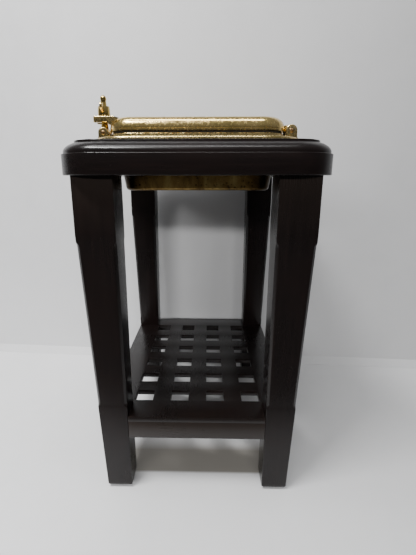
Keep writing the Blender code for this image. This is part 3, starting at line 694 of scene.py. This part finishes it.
def make_frame():
    half = [side + MARGIN for side in RING_HALF]
    rim = MARGIN + 1.0
    opening = MARGIN + OPENING_INSET
    edge = arc((3.8, FLANGE_THICK - 3.8), (3.8, 3.8), 180, 90, 8)
    section = [(0.8, FRAME_FOOT), (0.0, FRAME_FOOT + 0.8)] + edge
    section += arc((rim - 2.2, FLANGE_THICK + 2.2), (2.2, 2.2), 270, 360, 5)
    section += arc((rim + 1.0, RIM_TOP - 1.0), (1.0, 1.0), 180, 90, 4)
    section += arc((opening - 1.0, RIM_TOP - 1.0), (1.0, 1.0), 90, 0, 4)
    section += [(opening, FRAME_FOOT)]
    bm = bmesh.new()
    loft(bm, inset_loops(half, RING_CORNER + MARGIN, section, TOP_SURFACE, 24), closed=True)
    casting = finish(bm, "window_frame")
    for x, z, radius in ((FITTING_X, HINGE_Z, HINGE_LUG_R), (-FITTING_X, DOG_Z, DOG_LUG_R)):
        for y in FITTING_Y:
            for low, high in fitting_spans(y):
                bm = bmesh.new()
                add_prism(bm, lug_outline(x, TOP_SURFACE + z, radius, TOP_SURFACE + 3.0), low, high, "Y")
                combine(casting, bevel(finish(bm, "lug"), 1.8, 4, 50.0), "UNION")
    bm = bmesh.new()
    for x, y in frame_screw_places():
        hole = [(2.4, -1.0), (2.4, 4.4), (4.8, 6.8), (4.8, 9.0)]
        add_turned(bm, hole, (x, y, TOP_SURFACE), sides=24)
    for x, z in ((FITTING_X, HINGE_Z), (-FITTING_X, DOG_Z)):
        for y in FITTING_Y:
            add_turned(bm, PIN_HOLE, (x, y, TOP_SURFACE + z), "Y", 32)
    combine(casting, finish(bm, "holes"))
    place_piece(casting, "stand", ["porthole_frame"], RIM)


def make_screw(name, node, x, y, base, profile, slot_size, body, slot_name, material, flip=False):
    """A slotted countersunk screw; slot_size is the slot's width and depth and the head's height."""
    bm = bmesh.new()
    add_turned(bm, profile, (x, y, base), sides=32)
    screw = finish(bm, name)
    wide, deep, head = slot_size
    bm = bmesh.new()
    below, above = (1.0, deep) if flip else (deep, 1.0)
    low, high = base + head - below, base + head + above
    turn = math.radians((x * 7.3 + y * 3.1) % 180.0)
    add_box(bm, (-8.0, -wide / 2, low), (8.0, wide / 2, high))
    bmesh.ops.rotate(bm, verts=bm.verts, cent=(0, 0, 0), matrix=Matrix.Rotation(turn, 3, "Z"))
    bmesh.ops.translate(bm, verts=bm.verts, vec=(x * MM, y * MM, 0))
    combine(screw, finish(bm, "slot"))
    place_piece(screw, body, [node], material)


# ---- the lid -------------------------------------------------------------------------------------
def retainer_screw_places():
    line_x = RING_HALF[0] - RETAINER_SCREW_INSET
    line_y = RING_HALF[1] - RETAINER_SCREW_INSET
    places = [(line_x, RETAINER_SCREW_AT[1]), (RETAINER_SCREW_AT[0], line_y)]
    return [(sx * x, sy * y) for x, y in places for sx in (-1, 1) for sy in (-1, 1)]


def ear_plate(y):
    tip, far, inner = -EAR_TIP, EAR_HALF, SLOT_HALF
    half = [(-120.0, -far)]
    half += arc((tip + 4.5, -far + 4.5), (4.5, 4.5), 270, 180, 8)
    half += arc((tip + 4.0, -inner - 4.0), (4.0, 4.0), 180, 90, 8)
    half += arc((-FITTING_X, 0.0), (inner, inner), 270, 360, 8)
    points = [(x, y + off) for x, off in half + mirrored(half[:-1])]
    bm = bmesh.new()
    add_prism(bm, points, TOP_SURFACE + EAR_Z[0], TOP_SURFACE + EAR_Z[1], "Z")
    return bevel(finish(bm, "ear"), 1.2, 3, 50.0)


def ear_web(y):
    top, plate = TOP_SURFACE + EAR_Z[0] + 2.0, TOP_SURFACE + EAR_Z[0]
    points = [(-143.0, top), (-142.8, plate), (-141.2, plate - 0.9), (-139.6, plate - 2.3)]
    points += [(-138.6, plate - 4.0), (EAR_SLOPE[0], plate - 4.0), (EAR_SLOPE[0], top)]
    bm = bmesh.new()
    add_prism(bm, points, y - EAR_HALF, y + EAR_HALF, "Y")
    return finish(bm, "web")


def slope_curve():
    """How the top of an ear runs down on to the crown of the ring."""
    ear, crown = EAR_Z[1], RING_CROWN
    ends = ((EAR_SLOPE[0], ear), (EAR_SLOPE[1], crown - 0.9))
    return bezier(ends[0], (-129.0, ear - 0.5), (-125.0, crown - 0.4), ends[1], 8)


def make_lid():
    middle = RING_WIDE / 2
    outer = arc((middle, RING_SHOULDER), (middle, RING_CROWN - RING_SHOULDER), 180, 90, 18)
    inner = arc((middle, 29.5), (middle, RING_CROWN - 29.5), 90, 0, 12)[1:]
    ledge = GLASS_SPAN[1] + GAP
    section = [(0.9, RING_FOOT), (0.2, RING_FOOT + 0.25), (0.0, RING_FOOT + 0.9), (0.15, RING_FOOT + 2.2)]
    section += [(0.25, RING_FOOT + 3.0), (0.0, RING_SHOULDER - 0.6)] + outer + inner
    section += [(RING_WIDE, ledge + 0.5), (RING_WIDE - 0.5, ledge), (REBATE_INSET, ledge)]
    section += [(REBATE_INSET, GLASS_SPAN[0]), (RETAINER_INSET, GLASS_SPAN[0]), (RETAINER_INSET, RING_FOOT)]
    near, far = GASKET_SPAN[1] + GAP, GASKET_SPAN[0] - GAP
    section += [(near, RING_FOOT), (near, RING_FOOT + 2.5), (far, RING_FOOT + 2.5), (far, RING_FOOT)]
    bm = bmesh.new()
    loft(bm, inset_loops(RING_HALF, RING_CORNER, section, TOP_SURFACE, 24), closed=True)
    ring = finish(bm, "lid_casting")
    radius = HINGE_LUG_R - 0.6
    for y in FITTING_Y:
        combine(ring, ear_web(y), "UNION")
        combine(ring, ear_plate(y), "UNION")
        bm = bmesh.new()
        half = EYE_WIDE / 2
        span = [(radius - 0.8, -half), (radius - 0.2, -half + 0.2), (radius, -half + 0.8)]
        span += [(r, -h) for r, h in reversed(span)]
        add_turned(bm, span, (FITTING_X, y, TOP_SURFACE + HINGE_Z), "Y", 40)
        knuckle = finish(bm, "knuckle")
        bm = bmesh.new()
        low = (134.0, y - half + 0.4, TOP_SURFACE + RING_FOOT + 0.4)
        high = (FITTING_X, y + half - 0.4, TOP_SURFACE + HINGE_Z + radius - 0.3)
        add_box(bm, low, high)
        combine(knuckle, bevel(finish(bm, "arm"), 0.8, 3, 50.0), "UNION")
        combine(ring, knuckle, "UNION")
    bm = bmesh.new()
    reach = EAR_Z[1] - DOG_Z - 0.1
    widest = math.asin((EAR_TIP - FITTING_X + 1.0) / (EAR_Z[1] - DOG_Z))
    for y in FITTING_Y:
        slope = slope_curve() + [(EAR_SLOPE[1], CUT_TOP), (EAR_SLOPE[0], CUT_TOP)]
        add_prism(bm, [(x, TOP_SURFACE + z) for x, z in slope], y - EAR_HALF - 1, y + EAR_HALF + 1, "Y")
        turns = [widest * k / 16 for k in range(17)]
        seat = [(-FITTING_X - reach * math.sin(a), DOG_Z + reach * math.cos(a)) for a in turns]
        seat += [(-EAR_TIP - 6.0, seat[-1][1]), (-EAR_TIP - 6.0, CUT_TOP), (-FITTING_X, CUT_TOP)]
        add_prism(bm, [(x, TOP_SURFACE + z) for x, z in seat], y - RELIEF_HALF, y + RELIEF_HALF, "Y")
        add_turned(bm, PIN_HOLE, (FITTING_X, y, TOP_SURFACE + HINGE_Z), "Y", 32)
    combine(ring, finish(bm, "cuts"))
    place_piece(ring, "lid", ["lid_ring"], CAST)


def make_band(name, node, section, material):
    bm = bmesh.new()
    loft(bm, inset_loops(RING_HALF, RING_CORNER, section, TOP_SURFACE, 24), closed=True)
    band = finish(bm, name)
    place_piece(band, "lid", [node], material)


def make_lid_parts():
    low, high = GASKET_SPAN
    top, foot = RING_FOOT + 2.4, RIM_TOP + 0.1
    bulge = (foot + RING_FOOT) / 2
    section = [(low, top), (low, RING_FOOT), (low - 0.4, bulge), (low, foot)]
    section += [(high, foot), (high + 0.4, bulge), (high, RING_FOOT), (high, top)]
    make_band("sealing_strip", "lid_gasket", section, RUBBER)
    outer, inner = RETAINER_INSET + 0.2, RING_WIDE + 2.0
    foot, top = RING_FOOT + 0.1, GLASS_SPAN[0] - 0.1
    section = [(outer, top), (outer, foot + 0.4), (outer + 0.4, foot)]
    section += arc((inner - 1.2, foot + 1.2), (1.2, 1.2), 270, 360, 4) + [(inner, top)]
    make_band("glazing_ring", "glass_retainer", section, RIM)
    inset = REBATE_INSET + 0.2
    loops = []
    low, high = GLASS_SPAN
    for cut, z in ((ARRIS, low), (0, low + ARRIS), (0, high - ARRIS), (ARRIS, high)):
        half = [side - inset - cut for side in RING_HALF]
        loops.append(outline(*half, GLASS_CORNER - cut, TOP_SURFACE + z, 16))
    bm = bmesh.new()
    loft(bm, loops)
    place_piece(finish(bm, "window_glass"), "lid", ["glass_pane"], GLASS, 20.0)


# ---- pins and dogs -------------------------------------------------------------------------------
def make_pin(kind, end, x, y, z):
    half = EYE_WIDE / 2 + GAP + LUG_THICK + 0.4
    profile = [(0.4, -half), (PIN_R - 1.4, -half + 0.1), (PIN_R - 0.4, -half + 0.5), (PIN_R, -half + 1.1)]
    profile += [(r, -h) for r, h in reversed(profile)]
    bm = bmesh.new()
    add_turned(bm, profile, (x, y, TOP_SURFACE + z), "Y", 32)
    pin = finish(bm, f"{kind}_rivet_{end}")
    place_piece(pin, "stand", [f"{kind}_pin_{end}"], PIN_METAL)


def make_swing_bolt(end, y):
    """An eye, a neck, a straight shank, a shallow groove and a ball end."""
    place = (-FITTING_X, y, TOP_SURFACE)
    neck = [(3.0, DOG_Z + 3.5), (6.0, DOG_Z + 4.0), (6.3, DOG_Z + 5.5), (6.2, DOG_Z + 8.5)]
    neck += [(5.6, DOG_Z + 12.0), (SHANK_R, EAR_Z[0] - 1.0), (SHANK_R, HUB_TOP + 3.4)]
    neck += [(SHANK_R - 0.5, HUB_TOP + 4.4), (SHANK_R - 0.6, HUB_TOP + 5.4)]
    ball = arc((0, BOLT_END - SHANK_R), (SHANK_R, SHANK_R), -28, 86, 12)
    bm = bmesh.new()
    add_turned(bm, neck + ball, place, sides=40)
    bolt = finish(bm, f"swing_bolt_turned_{end}")
    half = EYE_WIDE / 2
    radius = DOG_LUG_R - 0.5
    rim = [(radius - 0.9, -half), (radius - 0.25, -half + 0.25), (radius, -half + 0.9)]
    rim += [(r, -h) for r, h in reversed(rim)]
    bm = bmesh.new()
    add_turned(bm, rim, (-FITTING_X, y, TOP_SURFACE + DOG_Z), "Y", 40)
    combine(bolt, finish(bm, "eye"), "UNION")
    bm = bmesh.new()
    hole = [(PIN_R + 0.2, -half - 2), (PIN_R + 0.2, half + 2)]
    add_turned(bm, hole, (-FITTING_X, y, TOP_SURFACE + DOG_Z), "Y", 32)
    combine(bolt, finish(bm, "hole"))
    place_piece(bolt, f"swing_bolt_{end}", [f"swing_bolt_{end}"], TURNED)


def make_washer(end, y):
    low = EAR_Z[1] + GAP
    high = low + WASHER_THICK
    inner = SHANK_R + 0.2
    profile = [(WASHER_R - 0.4, low), (WASHER_R, low + 0.4), (WASHER_R, high - 0.4)]
    profile += [(WASHER_R - 0.4, high), (inner, high), (inner, low)]
    bm = bmesh.new()
    add_turned(bm, profile, (-FITTING_X, y, TOP_SURFACE), sides=48, closed=True)
    washer = finish(bm, f"plain_washer_{end}")
    place_piece(washer, f"dog_washer_{end}", [f"dog_washer_{end}"], TURNED)


def wing_outline(low):
    tip = arc((WING_REACH - 5.0, WING_TOP - 5.0), (5.0, 5.0), -60, 120, 16)
    return [(6.5, low + 2.5), (10.2, low + 4.8)] + tip + [(9.0, HUB_TOP - 1.5), (6.5, HUB_TOP - 3.0)]


def make_wing_nut(end, y):
    low = EAR_Z[1] + GAP + WASHER_THICK + GAP
    inner = SHANK_R + 0.2
    hub = [(inner, low), (HUB_R[0] - 0.8, low), (HUB_R[0] - 0.2, low + 0.3), (HUB_R[0], low + 1.0)]
    hub += [(HUB_R[0] - 0.1, low + 5.0), (HUB_R[1], HUB_TOP - 1.4), (HUB_R[1] - 0.4, HUB_TOP - 0.4)]
    hub += [(HUB_R[1] - 1.4, HUB_TOP), (inner, HUB_TOP)]
    bm = bmesh.new()
    add_turned(bm, hub, (-FITTING_X, y, TOP_SURFACE), sides=48, closed=True)
    nut = finish(bm, f"wing_nut_cast_{end}")
    for side in (-1, 1):
        bm = bmesh.new()
        half = WING_THICK / 2
        points = [(y + side * out, TOP_SURFACE + up) for out, up in wing_outline(low)]
        loft(bm, [[(-FITTING_X + x, a, b) for a, b in points] for x in (-half, half)])
        combine(nut, bevel(finish(bm, "wing"), 1.3, 4, 40.0), "UNION")
    place_piece(nut, f"wing_nut_{end}", [f"wing_nut_{end}"], TURNED)


# ---- building the pieces -------------------------------------------------------------------------
PIN_METAL = brass("pin_brass", gold=(0.34, 0.19, 0.09), worn=0.5, pit=0.4, rough=(0.3, 0.45))

make_top()
for place, (sx, sy) in CORNERS.items():
    make_leg(place, sx, sy, WOOD_Z)
    make_glide(place, sx, sy)
make_rail("rail_front", 0, -1, WOOD_X)
make_rail("rail_rear", 0, 1, WOOD_X)
make_rail("rail_left", 1, -1, WOOD_Y)
make_rail("rail_right", 1, 1, WOOD_Y)
make_shelf()
make_basin()
make_frame()
make_lid()
make_lid_parts()
for end, y in zip(ENDS, FITTING_Y):
    make_pin("hinge", end, FITTING_X, y, HINGE_Z)
    make_pin("dog", end, -FITTING_X, y, DOG_Z)
    make_swing_bolt(end, y)
    make_washer(end, y)
    make_wing_nut(end, y)

deck_screw = [(2.0, -24.0), (2.0, 4.4), (4.3, 6.5), (4.1, 6.7)]
for number, (x, y) in enumerate(frame_screw_places(), 1):
    names = (f"deck_screw_{number}", f"frame_screw_{number}")
    make_screw(*names, x, y, TOP_SURFACE, deck_screw, (1.1, 1.2, 6.7), "stand", "brass", TURNED)

foot = TOP_SURFACE + RING_FOOT + 0.1
glazing_screw = [(3.1, 0.2), (1.5, 1.8), (1.5, 9.0)]
for number, (x, y) in enumerate(retainer_screw_places(), 1):
    names = (f"glazing_screw_{number}", f"retainer_screw_{number}")
    make_screw(*names, x, y, foot, glazing_screw, (0.8, 0.8, 0.2), "lid", "brass", TURNED, True)

bottom = SHELF_TOP - SHELF_THICK - RAIL_HIGH
board_screw = [(4.4, 0.4), (2.0, 2.8), (2.0, RAIL_HIGH + 5.5)]
screw_x = rail_line(0, SHELF_TOP - SHELF_THICK) - RAIL_THICK / 2
for number, (sx, sy) in enumerate(((-1, -1), (-1, 1), (1, -1), (1, 1)), 1):
    names = (f"board_screw_{number}", f"shelf_screw_{number}")
    place = (sx * screw_x, sy * SHELF_SCREW_Y, bottom)
    make_screw(*names, *place, board_screw, (1.1, 1.2, 0.4), "stand", "steel_screw", STEEL, True)


# ---- floor, wall, light and camera ---------------------------------------------------------------
WALL_Y = 0.302
WALL_TURN = 0.065
WALL_HIGH = 1.3
COVE = 0.020
STAGE_HALF = 4
FLOOR_SPAN = (-5, 3)
FLOOR_FADE = (-0.50, -0.36)
FLOOR_SHADE = (-0.197, -0.12, 0.165, 0.006)
# where the painted shade on the floor and wall, darker to the right, begins and ends along X
RIGHT_SHADE_SPAN = (-0.35, 0.55)
CAMERA_PLACE = (0.0171, -0.8121, 0.5679)
CAMERA_YAW = -0.0221
CAMERA_PITCH = 0.2609
CAMERA_LENS = 24.13
CAMERA_SENSOR = 36.0
CAMERA_SHIFT = 0.0164


def stage_material(name, low, high, rough, scale, fade=None, shade=None):
    """Pale paint, with painted shade that makes it a little darker to the right.

    fade is where it darkens towards the front, between two places along Y. shade is a darker patch
    under the stand: its front, its back, half its width and how soft its edges are.
    """
    n = Nodes(name)
    cloud = n.noise(n.coords, scale, 5.0, 0.6)
    fine = n.noise(n.coords, scale * 14.0, 4.0, 0.6)
    colour = n.mix(n.grey(fine, 0.0, 0.5), n.ramp(cloud, [(0.35, low), (0.65, high)]), high)
    place = n.add("ShaderNodeSeparateXYZ", Vector=n.coords)
    across, along = place.outputs["X"], place.outputs["Y"]
    # painted shade: the floor and wall darken towards the right, as if lit from the left
    colour = n.mix(n.grey(across, 0.0, 0.32, *RIGHT_SHADE_SPAN), colour, (0.0, 0.0, 0.0))
    if shade is not None:
        front, back, side, soft = shade
        rise = n.grey(along, 0.0, 1.0, front, front + soft)
        fall = n.grey(along, 1.0, 0.0, back - 2 * soft, back + 4 * soft)
        depth = n.maths("MULTIPLY", rise, fall)
        width = n.grey(n.maths("ABSOLUTE", across), 1.0, 0.0, side - soft, side + soft)
        colour = n.mix(n.maths("MULTIPLY", depth, width), colour, (0.26, 0.245, 0.22))
    if fade is not None:
        colour = n.mix(n.grey(along, 1.0, 0.0, *fade), colour, (0.06, 0.06, 0.06))
    return n.set(Base_Color=colour, Roughness=rough, Normal=n.bump(fine, 0.05, 0.001))


def clear_from_behind(material):
    """Lets a sheet be seen through from its back, so that it hides nothing in a view from behind."""
    tree = material.node_tree
    geometry = tree.nodes.new("ShaderNodeNewGeometry")
    clear = tree.nodes.new("ShaderNodeBsdfTransparent")
    blend = tree.nodes.new("ShaderNodeMixShader")
    tree.links.new(geometry.outputs["Backfacing"], blend.inputs[0])
    tree.links.new(tree.nodes["Principled BSDF"].outputs[0], blend.inputs[1])
    tree.links.new(clear.outputs[0], blend.inputs[2])
    tree.links.new(blend.outputs[0], tree.nodes["Material Output"].inputs["Surface"])


def stage_sheet(name, corners, material):
    mesh = bpy.data.meshes.new(name)
    mesh.from_pydata(corners, [], [(0, 1, 2, 3)])
    mesh.materials.append(material)
    sheet = add_object(name, mesh)


def wall_line(x, off=0.0):
    """A point on the foot of the wall, which stands a little askew."""
    return WALL_Y - WALL_TURN * x - off


floor_tones = ((0.70, 0.705, 0.71), (0.76, 0.76, 0.765))
FLOOR = stage_material("pale_floor", *floor_tones, 0.5, 2.2, fade=FLOOR_FADE, shade=FLOOR_SHADE)
WALL = stage_material("pale_wall", (0.52, 0.52, 0.525), (0.57, 0.57, 0.575), 0.6, 1.3)
clear_from_behind(WALL)
near, far = FLOOR_SPAN
floor = [(-STAGE_HALF, near, 0), (STAGE_HALF, near, 0), (STAGE_HALF, far, 0), (-STAGE_HALF, far, 0)]
stage_sheet("floor_sheet", floor, FLOOR)
ends = [(x, wall_line(x)) for x in (-STAGE_HALF, STAGE_HALF)]
feet = [(x, wall_line(x, COVE)) for x in (-STAGE_HALF, STAGE_HALF)]
wall = [(*ends[0], COVE), (*ends[1], COVE), (*ends[1], WALL_HIGH), (*ends[0], WALL_HIGH)]
stage_sheet("wall_sheet", wall, WALL)
cove = [(*feet[0], 0.001), (*feet[1], 0.001), (*ends[1], COVE), (*ends[0], COVE)]
stage_sheet("cove_sheet", cove, WALL)


def area_light(name, place, target, size, energy, in_gloss=True):
    """A rectangular lamp that faces a target; in_gloss says if it shows in reflections."""
    data = bpy.data.lights.new(name, "AREA")
    data.shape = "RECTANGLE"
    data.size, data.size_y = size
    data.energy = energy
    light = bpy.data.objects.new(name, data)
    bpy.context.scene.collection.objects.link(light)
    light.location = place
    light.rotation_euler = (Vector(target) - Vector(place)).to_track_quat("-Z", "Y").to_euler()
    light.visible_glossy = in_gloss


area_light("key", (-0.95, -0.98, 2.6), (0, 0, 0.2), (0.9, 0.3), 88)
area_light("overhead", (-0.25, -0.38, 2.4), (-0.2, -0.2, 0.6), (1.5, 0.22), 20)
area_light("low_front", (-0.4, -3.2, 1.36), (0, 0.3, 0.4), (3.0, 0.15), 125, in_gloss=False)

world = bpy.data.worlds.new("studio")
bpy.context.scene.world = world
world.use_nodes = True
tree = world.node_tree
background = tree.nodes["Background"]
direction = tree.nodes.new("ShaderNodeTexCoord")
split = tree.nodes.new("ShaderNodeSeparateXYZ")
shade = tree.nodes.new("ShaderNodeValToRGB")
tree.links.new(direction.outputs["Generated"], split.inputs[0])
tree.links.new(split.outputs["Z"], shade.inputs["Fac"])
tree.links.new(shade.outputs["Color"], background.inputs["Color"])
sky = shade.color_ramp.elements
sky[0].position = 0.03
sky[0].color = (0.05, 0.05, 0.052, 1)
sky[1].position = 0.9
sky[1].color = (0.26, 0.265, 0.275, 1)
low_sky = sky.new(0.20)
low_sky.color = (0.15, 0.15, 0.155, 1)

camera_data = bpy.data.cameras.new("camera")
camera = bpy.data.objects.new("camera", camera_data)
bpy.context.scene.collection.objects.link(camera)
camera_data.sensor_width = CAMERA_SENSOR
camera_data.lens = CAMERA_LENS
camera_data.shift_x = CAMERA_SHIFT
camera.location = CAMERA_PLACE
camera.rotation_euler = Euler((math.pi / 2 - CAMERA_PITCH, 0.0, -CAMERA_YAW), "XYZ")
bpy.context.scene.camera = camera
